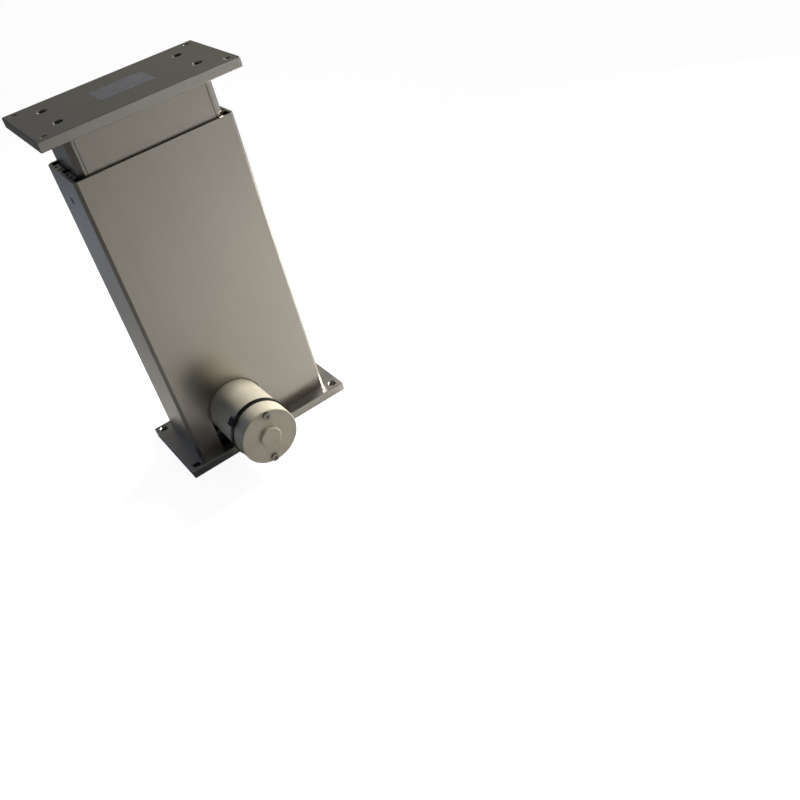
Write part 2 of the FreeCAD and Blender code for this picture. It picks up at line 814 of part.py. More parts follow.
def column_screws():
    """The screws that hold both extrusions to their plates."""
    top = []
    for place in corners(inner_port_x, inner_port_y):
        blank = fuse("top_screw_blank", [
            cylinder("top_screw_head", "Z", place, size("top_screw_head_radius"),
                     top_screw_seat, top_screw_head),
            cylinder("top_screw_shank", "Z", place, size("top_screw_radius"),
                     top_screw_end, top_screw_seat)])
        top.append(socketed("top_screw", blank, *place, size("top_socket_radius"),
                            top_screw_head - size("top_socket_depth"), size("top_socket_depth")))
    piece(group("top_screws", top), "top_plate_screws")
    base = [sunk_screw(f"rib_screw_{number}", x, y, size("outer_port_radius") - size("fit_gap"),
                       size("rib_screw_head_radius"), size("rib_screw_length"),
                       size("rib_socket_radius"), size("rib_socket_depth"))
            for number, (x, y) in enumerate(rib_screw_places())]
    piece(group("base_screws", base), "base_plate_screws")
    feet = [sunk_screw(f"foot_screw_{number}", x, y, size("gearbox_screw_radius"),
                       size("gearbox_screw_head_radius"),
                       base_top + size("foot_height") - size("fit_gap"),
                       size("gearbox_socket_radius"), size("gearbox_socket_depth"))
            for number, (x, y) in enumerate(foot_screw_places())]
    piece(group("foot_screws", feet), "gearbox_base_screws")


def cable_grommet():
    """The rubber bush of the cable inlet, low on the back wall."""
    place = (inlet_x, inlet_z)
    flange_radius = size("inlet_radius") + size("grommet_flange")
    shape = fuse("grommet_blank", [
        cylinder("grommet_neck", "Y", place, size("inlet_radius") - size("fit_gap"), bore_y, outer_y),
        cylinder("grommet_outer_flange", "Y", place, flange_radius,
                 outer_y, outer_y + size("grommet_flange")),
        cylinder("grommet_inner_flange", "Y", place, flange_radius,
                 bore_y - size("grommet_flange"), bore_y)])
    bore = cylinder("grommet_hole", "Y", place, size("grommet_bore"),
                    bore_y - size("grommet_flange") - overcut,
                    outer_y + size("grommet_flange") + overcut)
    piece(cut("grommet", shape, [bore]), "cable_grommet")


def gearbox():
    """The cast housing with feet, and its cover that carries the upper spindle bearing."""
    sides = rectangle(gearbox_left, gearbox_right, gearbox_front, gearbox_back)
    body = new_body("gearbox_body")
    block = sketch_on(body, "gearbox_outline", "XY_Plane", base_top)
    outline(block, sides)
    solid = pad(body, block, gearbox_top - base_top, "gearbox_block")
    soften(body, "Fillet", solid, is_upright, size("gearbox_corner"), "gearbox_rounded")
    feet = sketch_on(body, "gearbox_feet", "XY_Plane", base_top)
    half = size("foot_width") / 2
    outline(feet, rectangle(gearbox_left - size("foot_length"),
                            gearbox_right + size("foot_length"), -half, half))
    pad(body, feet, size("foot_height"), "gearbox_feet_pad")
    chamber = sketch_on(body, "chamber", "XY_Plane", gearbox_top)
    circle(chamber, 0, 0, chamber_radius)
    pocket(body, chamber, gearbox_top - chamber_floor, "chamber_cut")
    seat = sketch_on(body, "lower_seat", "XY_Plane", gearbox_top)
    circle(seat, 0, 0, size("spindle_bearing_radius") + size("fit_gap"))
    pocket(body, seat, gearbox_top - lower_bearing_bottom, "lower_seat_cut")
    worm_bore = sketch_on(body, "worm_bore", "XZ_Plane", size("gearbox_front"))
    circle(worm_bore, motor_x, motor_z, size("worm_bore_radius"))
    pocket(body, worm_bore, None, "worm_bore_cut")
    spigot = sketch_on(body, "spigot_recess", "XZ_Plane", size("gearbox_front"))
    circle(spigot, motor_x, motor_z, front_spigot_radius + size("fit_gap"))
    pocket(body, spigot, spigot_end - gearbox_front + size("fit_gap"), "spigot_recess_cut")
    rear = sketch_on(body, "worm_end_seat", "XZ_Plane", -gearbox_back)
    circle(rear, motor_x, motor_z, size("small_bearing_radius") + size("fit_gap"))
    rear_cut = pocket(body, rear, gearbox_back - worm_bearing_start, "worm_end_seat_cut")
    rear_cut.Reversed = True
    threads = sketch_on(body, "cover_screw_threads", "XY_Plane", gearbox_top)
    for x, y in cover_screw_places():
        circle(threads, x, y, size("cover_screw_radius") + size("fit_gap"))
    pocket(body, threads, size("cover_screw_length"), "cover_threads_cut")
    foot_holes = sketch_on(body, "foot_holes", "XY_Plane", base_top + size("foot_height"))
    for x, y in foot_screw_places():
        circle(foot_holes, x, y, size("gearbox_screw_radius") + size("fit_gap"))
    pocket(body, foot_holes, None, "foot_holes_cut")
    piece(body, "gearbox_housing")

    cover = new_body("cover_body")
    slab = sketch_on(cover, "cover_outline", "XY_Plane", gearbox_top)
    outline(slab, sides)
    cover_slab = pad(cover, slab, size("cover_thickness"), "cover_slab")
    soften(cover, "Fillet", cover_slab, is_upright, size("gearbox_corner"), "cover_rounded")
    plug = sketch_on(cover, "cover_spigot", "XY_Plane", spigot_bottom)
    circle(plug, 0, 0, chamber_radius - size("fit_gap"))
    pad(cover, plug, size("spigot_depth"), "cover_spigot_pad")
    bearing_seat = sketch_on(cover, "upper_seat", "XY_Plane", cover_top)
    circle(bearing_seat, 0, 0, size("spindle_bearing_radius") + size("fit_gap"))
    pocket(cover, bearing_seat, cover_top - upper_bearing_bottom, "upper_seat_cut")
    shaft_hole = sketch_on(cover, "spindle_hole", "XY_Plane", cover_top)
    circle(shaft_hole, 0, 0, size("hub_radius"))
    pocket(cover, shaft_hole, None, "spindle_hole_cut")
    screw_holes = sketch_on(cover, "cover_screw_holes", "XY_Plane", cover_top)
    for x, y in cover_screw_places():
        circle(screw_holes, x, y, size("cover_screw_radius") + size("fit_gap"))
    pocket(cover, screw_holes, None, "cover_holes_cut")
    piece(cover, "gearbox_cover")

    screws = []
    for x, y in cover_screw_places():
        head = cylinder("cover_screw_head", "Z", (x, y), size("cover_screw_head_radius"),
                        cover_top, cover_top + size("cover_screw_head_height"))
        shank = cylinder("cover_screw_shank", "Z", (x, y), size("cover_screw_radius"),
                         cover_top - size("cover_screw_length"), cover_top)
        screws.append(fuse("cover_screw", [head, shank]))
    piece(group("cover_screws", screws), "gearbox_cover_screws")


def cover_screw_places():
    inset = size("cover_screw_inset")
    return [(x, y)
            for x in (gearbox_left + inset, gearbox_right - inset)
            for y in (gearbox_front + inset, gearbox_back - inset)]


def bearing(name, label, direction, across, radius, bore, start, end):
    """A ball bearing as a plain closed ring with a recess between its races on each face."""
    blank = ring(name, direction, across, radius, bore, start, end)
    wall = radius - bore
    recess_out = radius - wall * size("ring_share")
    recess_in = bore + wall * size("ring_share")
    depth = size("ring_recess")
    recesses = [ring(name + "_low_recess", direction, across, recess_out, recess_in,
                     start - overcut, start + depth),
                ring(name + "_high_recess", direction, across, recess_out, recess_in,
                     end - depth, end + overcut)]
    piece(cut(name + "_bearing", blank, recesses), label)


def bearings():
    on_motor = (motor_x, motor_z)
    turning = size("turning_gap")
    bearing("lower", "spindle_lower_bearing", "Z", (0, 0), size("spindle_bearing_radius"),
            lower_journal_radius + turning, lower_bearing_bottom, lower_bearing_top)
    bearing("upper", "spindle_upper_bearing", "Z", (0, 0), size("spindle_bearing_radius"),
            upper_journal_radius + turning, upper_bearing_bottom, upper_bearing_top)
    bearing("worm_end", "worm_end_bearing", "Y", on_motor, size("small_bearing_radius"),
            size("rear_journal_radius") + turning, worm_bearing_start, worm_bearing_end)
    bearing("motor_front", "motor_front_bearing", "Y", on_motor, size("front_bearing_radius"),
            size("shaft_radius") + turning, can_front, front_bearing_end)
    bearing("motor_rear", "motor_rear_bearing", "Y", on_motor, size("small_bearing_radius"),
            size("rear_journal_radius") + turning, rear_bearing_end, rear_bearing_start)
    plug = cylinder("bore_plug", "Y", on_motor, size("small_bearing_radius"),
                    worm_bearing_end, gearbox_back)
    piece(plug, "worm_bore_plug")


def spindle_parts():
    """The spindle with its wheel, key, spacer and end stop."""
    top = spindle_top
    tap = size("stop_screw_radius") + size("fit_gap")
    tap_bottom = top - size("stop_screw_length") - overcut
    body = turned("spindle_body", False, [
        (0, lower_bearing_bottom), (lower_journal_radius, lower_bearing_bottom),
        (lower_journal_radius, hub_bottom), (wheel_seat_radius, hub_bottom),
        (wheel_seat_radius, hub_top), (upper_journal_radius, hub_top),
        (upper_journal_radius, upper_bearing_top + size("fit_gap")),
        (size("spindle_radius"), upper_bearing_top + size("fit_gap")),
        (size("spindle_radius"), top), (tap, top), (tap, tap_bottom), (0, tap_bottom)])
    key_half = size("key_width") / 2
    key_low = motor_z - size("key_length") / 2
    key_high = motor_z + size("key_length") / 2
    keyway = sketch_on(body, "spindle_keyway", "XZ_Plane", wheel_seat_radius + overcut)
    outline(keyway, rectangle(-key_half, key_half, key_low, key_high))
    pocket(body, keyway, size("key_rise") + overcut, "spindle_keyway_cut")
    piece(body, "spindle")

    key_y = -wheel_seat_radius
    key = box("key_block", (-key_half, key_y - size("key_rise"), key_low),
              (key_half, key_y + size("key_rise"), key_high))
    piece(key, "wheel_key")

    worm_wheel(key_half, key_y)

    spacer = ring("wheel_spacer_blank", "Z", (0, 0), size("spacer_radius"),
                  lower_journal_radius + size("fit_gap"),
                  lower_bearing_top + size("slide_gap"), hub_bottom)
    piece(spacer, "wheel_spacer")
    washer = ring("stop_washer", "Z", (0, 0), push_tube_bore - size("stop_gap"),
                  size("stop_screw_radius") + size("fit_gap"), top, top + size("stop_height"))
    piece(washer, "spindle_end_stop")
    screw = fuse("stop_screw_blank", [
        cylinder("stop_screw_head", "Z", (0, 0), size("stop_screw_head_radius"),
                 top + size("stop_height"),
                 top + size("stop_height") + size("stop_screw_head_height")),
        cylinder("stop_screw_shank", "Z", (0, 0), size("stop_screw_radius"),
                 top - size("stop_screw_length"), top + size("stop_height"))])
    piece(screw, "end_stop_screw")


def half_thread(worm_radius):
    """Half the worm thread's thickness at a radius of the worm, from its flanks' slope."""
    return worm_lead / 4 + (size("worm_pitch_radius") - worm_radius) * size("flank_slope")


def worm_wheel(key_half, key_y):
    """The bronze wheel: a throat that hugs the worm, and teeth cut at the thread's slant."""
    wheel = new_body("wheel_body")
    half_width = size("wheel_width") / 2
    rim = sketch_on(wheel, "wheel_rim", "XY_Plane", motor_z - half_width)
    circle(rim, 0, 0, wheel_rim_radius)
    pad(wheel, rim, size("wheel_width"), "wheel_rim_pad")
    throat = sketch_on(wheel, "wheel_throat", "XZ_Plane")
    circle(throat, motor_x, motor_z, -motor_x - wheel_tip_radius)
    groove = wheel.newObject("PartDesign::Groove", "wheel_throat_cut")
    groove.Profile = throat
    groove.ReferenceAxis = (throat, ["V_Axis"])
    groove.Angle = 360
    hub = sketch_on(wheel, "wheel_hub", "XY_Plane", hub_bottom)
    circle(hub, 0, 0, size("hub_radius"))
    pad(wheel, hub, size("hub_height"), "wheel_hub_pad")
    bore = sketch_on(wheel, "wheel_bore", "XY_Plane", hub_top)
    circle(bore, 0, 0, wheel_seat_radius + size("fit_gap"))
    pocket(wheel, bore, None, "wheel_bore_cut")
    slot = sketch_on(wheel, "wheel_keyway", "XY_Plane", hub_top)
    outline(slot, rectangle(-key_half, key_half, key_y - size("key_rise"), 0))
    pocket(wheel, slot, None, "wheel_keyway_cut")
    inside, outside = wheel_root_radius, wheel_rim_radius + overcut
    half_inside = half_thread(-motor_x - inside) + size("tooth_clearance")
    half_outside = half_thread(-motor_x - outside) + size("tooth_clearance")
    reach = half_width + overcut
    slant = size("gear_module") / (size("worm_pitch_radius") * 2) * reach
    sections = []
    for side in (-1, 1):
        section = sketch_on(wheel, f"tooth_gap_{side}", "XY_Plane", motor_z + reach * side)
        middle = -slant * side
        outline(section, [(-inside, middle - half_inside), (-inside, middle + half_inside),
                          (-outside, middle + half_outside), (-outside, middle - half_outside)])
        sections.append(section)
    first_gap = wheel.newObject("PartDesign::SubtractiveLoft", "first_tooth_gap")
    first_gap.Profile = sections[0]
    first_gap.Sections = sections[1:]
    first_gap.Ruled = True
    around(wheel, first_gap, size("wheel_teeth"), "Z_Axis", "tooth_gaps")
    piece(wheel, "worm_wheel")


def push_parts():
    """The nut that climbs the spindle and the tube that it pushes the top plate with."""
    tube = size("push_tube_radius")
    pins = [cross_pin(f"nut_pin_{side}", side * nut_pin_end, side * tube, size("nut_pin_radius"))
            for side in (-1, 1)]
    holes = [cross_pin(f"nut_pin_hole_{side}", side * nut_pin_end, side * (tube + overcut),
                       size("nut_pin_radius") + size("fit_gap"))
             for side in (-1, 1)]
    nut = turned("nut_body", False, [
        (size("spindle_radius") + size("turning_gap"), nut_bottom),
        (nut_flange_radius, nut_bottom), (nut_flange_radius, nut_flange_top),
        (push_tube_bore - size("fit_gap"), nut_flange_top),
        (push_tube_bore - size("fit_gap"), nut_top),
        (size("spindle_radius") + size("turning_gap"), nut_top)])
    piece(cut("drive_nut_body", nut, holes), "drive_nut")
    outer = ring("push_tube_blank", "Z", (0, 0), tube, push_tube_bore, nut_flange_top,
                 top_plate_bottom + size("tube_recess"))
    piece(cut("push_tube_body", outer, holes), "push_tube")
    piece(group("nut_pin_pair", pins), "nut_pins")


def cross_pin(name, one_end, other_end, radius):
    """A cross pin through the nut, between two places along X."""
    ends = sorted((as_size(one_end), as_size(other_end)), key=lambda place: place.value)
    return cylinder(name, "X", (0, (nut_flange_top + nut_top) / 2), radius, ends[0], ends[1])


def motor_shell():
    """The can, its end cap with the bearing boss, the front flange and the strap on the joint."""
    on_motor = (motor_x, motor_z)
    radius = size("motor_radius")
    can = ring("motor_can", "Y", on_motor, radius, can_bore, can_end, can_front)
    piece(can, "motor_housing")

    inside_face = cap_face + size("end_cap_face")
    pocket_radius = size("small_bearing_radius") + size("fit_gap")
    edge, boss_edge = size("end_cap_edge"), size("boss_edge")
    boss_inside = pocket_radius + size("boss_wall")
    cap = turned("end_cap_body", True, [
        (0, boss_face), (boss_radius - boss_edge, boss_face),
        (boss_radius, boss_face + boss_edge), (boss_radius, cap_face),
        (radius - edge, cap_face), (radius, cap_face + edge),
        (radius, can_end), (can_bore, can_end), (can_bore, inside_face),
        (boss_inside, inside_face), (boss_inside, rear_bearing_start),
        (pocket_radius, rear_bearing_start), (pocket_radius, rear_bearing_end),
        (0, rear_bearing_end)])
    screw_holes = sketch_on(cap, "cap_screw_holes", "XZ_Plane", -cap_face)
    for x, z in cap_screw_places():
        circle(screw_holes, x, z, size("cap_screw_radius") + size("fit_gap"))
    pocket(cap, screw_holes, size("end_cap_length"), "cap_screw_holes_cut")
    piece(cap, "motor_end_cap")

    bearing_radius = size("front_bearing_radius") + size("fit_gap")
    shaft_hole = size("shaft_radius") + size("shaft_passage")
    flange = turned("front_flange_body", True, [
        (bearing_radius, can_front), (radius, can_front), (radius, gearbox_front),
        (front_spigot_radius, gearbox_front), (front_spigot_radius, spigot_end),
        (shaft_hole, spigot_end), (shaft_hole, front_bearing_end),
        (bearing_radius, front_bearing_end)])
    threads = sketch_on(flange, "flange_threads", "XZ_Plane", -can_front)
    for x, z in cap_screw_places():
        circle(threads, x, z, size("cap_screw_radius") + size("fit_gap"))
    pocket(flange, threads, None, "flange_threads_cut")
    piece(flange, "motor_front_flange")

    strap_start = can_end - size("strap_overlap")
    strap_end = strap_start + size("strap_width")
    strap_radius = radius + size("strap_thickness")
    band = ring("strap_band", "Y", on_motor, strap_radius, radius + size("fit_gap"),
                strap_start, strap_end)
    clasp = doc.addObject("Part::Box", "strap_clasp")
    bind(clasp, "Length", size("clasp_height"))
    bind(clasp, "Width", size("clasp_width"))
    bind(clasp, "Height", size("clasp_length"))
    angle = math.radians(float(sheet.get("clasp_angle")))
    out = FreeCAD.Vector(math.cos(angle), 0, math.sin(angle))
    clasp.Placement = FreeCAD.Placement(
        FreeCAD.Vector(), FreeCAD.Rotation(FreeCAD.Vector(0, 1, 0), -math.degrees(angle)))
    half_length = size("clasp_length") / 2
    start_radius = radius + size("fit_gap") * 2
    bind(clasp, "Placement.Base.x", motor_x + start_radius * out.x + half_length * out.z)
    bind(clasp, "Placement.Base.y", (strap_start + strap_end) / 2 - size("clasp_width") / 2)
    bind(clasp, "Placement.Base.z", motor_z + start_radius * out.z - half_length * out.x)
    shape = fuse("strap_shape", [band, clasp])
    bore_tool = cylinder("strap_bore", "Y", on_motor, radius + size("fit_gap"),
                         strap_start - size("clasp_width"), strap_end + size("clasp_width"))
    piece(cut("strap", shape, [bore_tool]), "motor_strap")


def cap_screw_places():
    """The two long motor screws, across the shaft from each other."""
    angle = math.radians(float(sheet.get("cap_screw_angle")))
    return [(motor_x + cap_screw_circle * (math.cos(angle) * side),
             motor_z + cap_screw_circle * (math.sin(angle) * side))
            for side in (-1, 1)]


def motor_screws():
    """Pan-head screws with a cross recess, from the end cap to the front flange."""
    screws = []
    head_face = cap_face - size("cap_screw_head_height")
    for number, place in enumerate(cap_screw_places()):
        head = cylinder(f"cap_screw_head_{number}", "Y", place, size("cap_screw_head_radius"),
                        head_face, cap_face)
        shank = cylinder(f"cap_screw_shank_{number}", "Y", place, size("cap_screw_radius"),
                         cap_face, gearbox_front - overcut)
        slots = []
        half_long, half_wide = size("cross_slot_length") / 2, size("cross_slot_width") / 2
        for half_x, half_z in ((half_long, half_wide), (half_wide, half_long)):
            slots.append(box(f"cross_slot_{number}",
                             (place[0] - half_x, head_face - overcut, place[1] - half_z),
                             (place[0] + half_x, head_face + size("cross_slot_depth"),
                              place[1] + half_z)))
        screws.append(cut(f"cap_screw_{number}", fuse(f"cap_screw_blank_{number}", [head, shank]),
                          slots))
    piece(group("cap_screws", screws), "motor_cap_screws")


def motor_core():
    """What turns and what surrounds it inside the can."""
    on_motor = (motor_x, motor_z)
    shaft = turned("shaft_body", True, [
        (0, rear_bearing_end + size("slide_gap")),
        (size("rear_journal_radius"), rear_bearing_end + size("slide_gap")),
        (size("rear_journal_radius"), rear_bearing_start + size("slide_gap")),
        (size("shaft_radius"), rear_bearing_start + size("slide_gap")),
        (size("shaft_radius"), front_bearing_end + size("slide_gap")),
        (worm_root_radius, front_bearing_end + size("slide_gap")),
        (worm_root_radius, worm_bearing_start - size("slide_gap")),
        (size("rear_journal_radius"), worm_bearing_start - size("slide_gap")),
        (size("rear_journal_radius"), worm_bearing_end - size("slide_gap")),
        (0, worm_bearing_end - size("slide_gap"))])
    thread = sketch_on(shaft, "worm_thread", "XY_Plane", motor_z, (motor_x, 0))
    middle = -worm_side_turns * worm_lead
    foot = worm_root_radius - size("turning_gap")
    outline(thread, [(foot, middle - half_thread(foot)),
                     (worm_tip_radius, middle - half_thread(worm_tip_radius)),
                     (worm_tip_radius, middle + half_thread(worm_tip_radius)),
                     (foot, middle + half_thread(foot))])
    winding = shaft.newObject("PartDesign::AdditiveHelix", "worm_thread_wound")
    winding.Profile = thread
    winding.ReferenceAxis = (thread, ["V_Axis"])
    winding.Mode = "pitch-height-angle"
    bind(winding, "Pitch", worm_lead)
    bind(winding, "Height", worm_lead * worm_side_turns * 2)
    piece(shaft, "worm_shaft")

    core = new_body("armature_body")
    disc = sketch_on(core, "armature_profile", "XZ_Plane", -armature_end, (motor_x, motor_z))
    circle(disc, 0, 0, armature_radius)
    circle(disc, 0, 0, size("shaft_radius") + size("fit_gap"))
    pad(core, disc, size("armature_length"), "armature_stack")
    slot = sketch_on(core, "armature_slot", "XZ_Plane", -armature_far_end, (motor_x, motor_z))
    half = size("armature_slot_width") / 2
    outline(slot, rectangle(armature_radius - size("armature_slot_depth"),
                            armature_radius + overcut, -half, half))
    first_slot = pocket(core, slot, size("armature_length"), "armature_slot_cut")
    pattern = core.newObject("PartDesign::PolarPattern", "armature_slots_cut")
    pattern.Originals = [first_slot]
    pattern.Axis = (disc, ["N_Axis"])
    pattern.Angle = 360
    bind(pattern, "Occurrences", size("armature_slots"))
    core.Tip = pattern
    piece(core, "armature_core")

    bore = size("shaft_radius") + size("fit_gap")
    winding_radius = armature_radius - size("winding_inset")
    windings = [ring("front_winding", "Y", on_motor, winding_radius, bore,
                     armature_end, armature_end + size("winding_length")),
                ring("rear_winding", "Y", on_motor, winding_radius, bore,
                     armature_far_end - size("winding_length"), armature_far_end)]
    piece(group("winding_pair", windings), "armature_windings")
    piece(ring("commutator_blank", "Y", on_motor, size("commutator_radius"), bore,
               commutator_end, commutator_start), "commutator")

    fitted = can_bore - size("fit_gap")
    magnet_start = armature_far_end - size("magnet_overhang")
    magnet_end = armature_end + size("magnet_overhang")
    magnets = []
    for side in (0, 180):
        wedge = cylinder(f"magnet_outside_{side}", "Y", on_motor, fitted,
                         magnet_start, magnet_end)
        bind(wedge, "Angle", size("magnet_angle"))
        middle = side + 90 - float(sheet.get("cap_screw_angle"))
        turn = FreeCAD.Rotation(FreeCAD.Vector(0, 1, 0),
                                middle - float(sheet.get("magnet_angle")) / 2)
        wedge.Placement = FreeCAD.Placement(wedge.Placement.Base, turn.multiply(TURN["Y"]))
        inside = cylinder(f"magnet_inside_{side}", "Y", on_motor, magnet_bore,
                          magnet_start - overcut, magnet_end + overcut)
        magnets.append(cut(f"magnet_{side}", wedge, [inside]))
    piece(group("magnet_pair", magnets), "motor_magnets")

    plate_end = commutator_start - size("commutator_gap")
    plate_start = plate_end - size("brush_plate_thickness")
    plate_ring = ring("brush_ring", "Y", on_motor, fitted,
                      size("commutator_radius") + size("brush_plate_clearance"),
                      plate_start, plate_end)
    passages = [cylinder("brush_plate_passage", "Y", place,
                         size("cap_screw_radius") + size("fit_gap") * 2,
                         plate_start - overcut, plate_end + overcut)
                for place in cap_screw_places()]
    piece(cut("brush_plate_body", plate_ring, passages), "brush_plate")
    brushes = []
    half = size("brush_width") / 2
    reach = size("commutator_radius") + size("slide_gap")
    for side in (-1, 1):
        ends = sorted((motor_x + reach * side, motor_x + (reach + size("brush_length")) * side),
                      key=lambda place: place.value)
        brushes.append(box(f"brush_{side}", (ends[0], plate_start - size("brush_width"),
                                             motor_z - half),
                           (ends[1], plate_start, motor_z + half)))
    piece(group("brush_pair", brushes), "carbon_brushes")


def limit_switches():
    """A rail on the gearbox cover with a switch for each end of the stroke."""
    half = size("rail_width") / 2
    triggers = [bottom + size("nut_flange_height") / 2
                for bottom in (nut_bottom, nut_bottom + lift_stroke)]
    half_height = size("switch_height") / 2
    rail = fuse("rail_shape", [
        box("rail_upright", (rail_x, -half, cover_top),
            (rail_x + size("rail_thickness"), half,
             triggers[1] + half_height + size("rail_end"))),
        box("rail_foot_plate", (rail_x - size("rail_foot"), -half, cover_top),
            (rail_x + size("rail_thickness"), half, cover_top + size("rail_thickness")))])
    piece(rail, "limit_switch_rail")
    switches = []
    half_width = size("switch_width") / 2
    for number, middle in enumerate(triggers):
        case = box(f"switch_case_{number}", (switch_face, -half_width, middle - half_height),
                   (rail_x, half_width, middle + half_height))
        plunger = cylinder(f"switch_plunger_{number}", "X", (0, middle), size("plunger_radius"),
                           plunger_end, rail_x - size("switch_depth") / 2)
        switches.append(fuse(f"switch_{number}", [case, plunger]))
    piece(group("switch_pair", switches), "limit_switches")


def check_model():
    """Stops with a message if any object failed or any sub-part isn't a valid solid."""
    doc.recompute()
    for obj in doc.Objects:
        if any(word in obj.State for word in ("Invalid", "Error")):
            raise RuntimeError(f"{obj.Name} failed: {obj.State}")
    for obj in pieces:
        shape = obj.Shape
        if shape.isNull() or not shape.isValid() or not shape.Solids:
            raise RuntimeError(f"{obj.Label} is not a valid solid")


base_plate()
outer_tube()
inner_tube()
top_plate()
glide_pads()
column_screws()
cable_grommet()
gearbox()
bearings()
spindle_parts()
push_parts()
motor_shell()
motor_screws()
motor_core()
limit_switches()
check_model()

os.makedirs("parts", exist_ok=True)
for obj in pieces:
    obj.Shape.exportStep(f"parts/{obj.Label}.step")
    print(f"{obj.Label}: {len(obj.Shape.Solids)} solid(s), {obj.Shape.Volume / 1000:.1f} cm3")
print(f"{len(pieces)} sub-parts")
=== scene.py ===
# %% Load the model
import json
import math
import bpy
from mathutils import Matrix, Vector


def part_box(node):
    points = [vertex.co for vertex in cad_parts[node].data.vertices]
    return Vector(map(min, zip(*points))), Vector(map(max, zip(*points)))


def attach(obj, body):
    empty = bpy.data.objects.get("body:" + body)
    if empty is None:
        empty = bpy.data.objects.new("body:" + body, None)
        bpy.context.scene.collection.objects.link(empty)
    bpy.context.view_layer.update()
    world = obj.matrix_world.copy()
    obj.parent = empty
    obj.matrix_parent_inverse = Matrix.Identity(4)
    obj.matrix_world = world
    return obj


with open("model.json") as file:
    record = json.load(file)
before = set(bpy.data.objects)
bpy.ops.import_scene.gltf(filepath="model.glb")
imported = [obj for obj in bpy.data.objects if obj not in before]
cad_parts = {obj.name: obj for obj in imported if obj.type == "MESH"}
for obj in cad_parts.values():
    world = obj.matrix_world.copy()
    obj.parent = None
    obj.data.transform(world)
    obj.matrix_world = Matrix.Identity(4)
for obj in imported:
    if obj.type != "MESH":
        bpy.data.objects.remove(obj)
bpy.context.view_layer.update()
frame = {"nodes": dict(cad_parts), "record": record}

nodes = frame["nodes"]

# %% [markdown]
# The object is an electric lifting column: two rectangular aluminium tubes, one inside the
# other, between two thick plates, with a cream motor across the foot. The shapes come from the
# model that was just loaded. This script adds what the eye needs on top of that: the finishes,
# a blank label, the threads of four holes, painted shade in four grooves, the camera and the light.
#
# Colours are written as the hex values that a paint program shows. Blender calculates with
# linear light, so one function turns each hex value into the numbers that Blender wants.

# %% Colour from a hex value
def srgb(hex_value):
    """A hex colour, such as "#8c857a", as linear red, green, blue and alpha."""
    channels = [int(hex_value[i:i + 2], 16) / 255 for i in (1, 3, 5)]
    linear = [c / 12.92 if c <= 0.04045 else ((c + 0.055) / 1.055) ** 2.4 for c in channels]
    return (*linear, 1.0)


print("mid grey in linear light:", [round(c, 3) for c in srgb("#808080")[:3]])

# %% [markdown]
# A finish is a small network of nodes. Each finish below starts from an empty material with a
# Principled shader, and one function adds every further node: it makes the node, sets its
# options and its inputs, and links an input when it is given another node's output.
#
# Patterns are placed with Object coordinates, which are metres on the real object. So a pattern
# that repeats every 2 mm gets a scale of 1 / 0.002, and it stays put when the camera moves.

# %% A material and one helper for its nodes
MM = 0.001
# Most of the noise lies between these two values.
NOISE_LOW = 0.25
NOISE_HIGH = 0.75


def new_finish(name, slot):
    """An empty material for one of the record's slots: its node tree and its shader."""
    material = bpy.data.materials.new(name)
    material.use_nodes = True
    tree = material.node_tree
    tree.nodes.clear()
    output = tree.nodes.new("ShaderNodeOutputMaterial")
    shader = tree.nodes.new("ShaderNodeBsdfPrincipled")
    tree.links.new(shader.outputs["BSDF"], output.inputs["Surface"])
    finishes[slot] = material
    print("finish:", name)
    return tree, shader


def add_node(tree, kind, inputs, **options):
    """Adds a node. A value in inputs is linked if it is a socket, and set otherwise."""
    node = tree.nodes.new(kind)
    for name, value in options.items():
        setattr(node, name, value)
    for name, value in inputs.items():
        if isinstance(value, bpy.types.NodeSocket):
            tree.links.new(value, node.inputs[name])
        else:
            node.inputs[name].default_value = value
    return node


def grains(tree, size_mm, detail=2.0):
    """Noise whose grains measure size_mm along x, y and z."""
    place = add_node(tree, "ShaderNodeTexCoord", {})
    mapping = add_node(tree, "ShaderNodeMapping", {
        "Vector": place.outputs["Object"],
        "Scale": [1 / (s * MM) for s in size_mm]})
    noise = add_node(tree, "ShaderNodeTexNoise", {
        "Vector": mapping.outputs["Vector"], "Scale": 1.0, "Detail": detail})
    return noise.outputs["Fac"]


def between(tree, factor, low, high):
    """Turns a noise value around 0.5 into the range from low to high, with soft ends."""
    ranged = add_node(tree, "ShaderNodeMapRange", {
        "Value": factor, "From Min": NOISE_LOW, "From Max": NOISE_HIGH,
        "To Min": low, "To Max": high}, interpolation_type="SMOOTHSTEP")
    return ranged.outputs["Result"]


def blend_colours(tree, factor, first, second):
    """A colour between two hex values."""
    mix = add_node(tree, "ShaderNodeMix", {0: factor, 6: srgb(first), 7: srgb(second)},
                   data_type="RGBA")
    return mix.outputs[2]


def raise_surface(tree, shader, height, depth_mm):
    """Raises the surface by a pattern, depth_mm from its lowest to its highest point."""
    bump = add_node(tree, "ShaderNodeBump", {"Height": height, "Distance": depth_mm * MM})
    tree.links.new(bump.outputs["Normal"], shader.inputs["Normal"])


finishes = {}

# %% [markdown]
# Both tubes are extruded aluminium with a clear anodised skin. The die leaves very fine lines
# along the tube, which run straight up here. The real lines are finer than 0.1 mm and would not
# show, so they are drawn about 1 mm wide and faint. The skin is satin: it mirrors what is near,
# such as the motor, as a soft blur. Its roughness stays above 0.28: with a range that began at
# 0.26, thin lines showed around the clouds in the render.

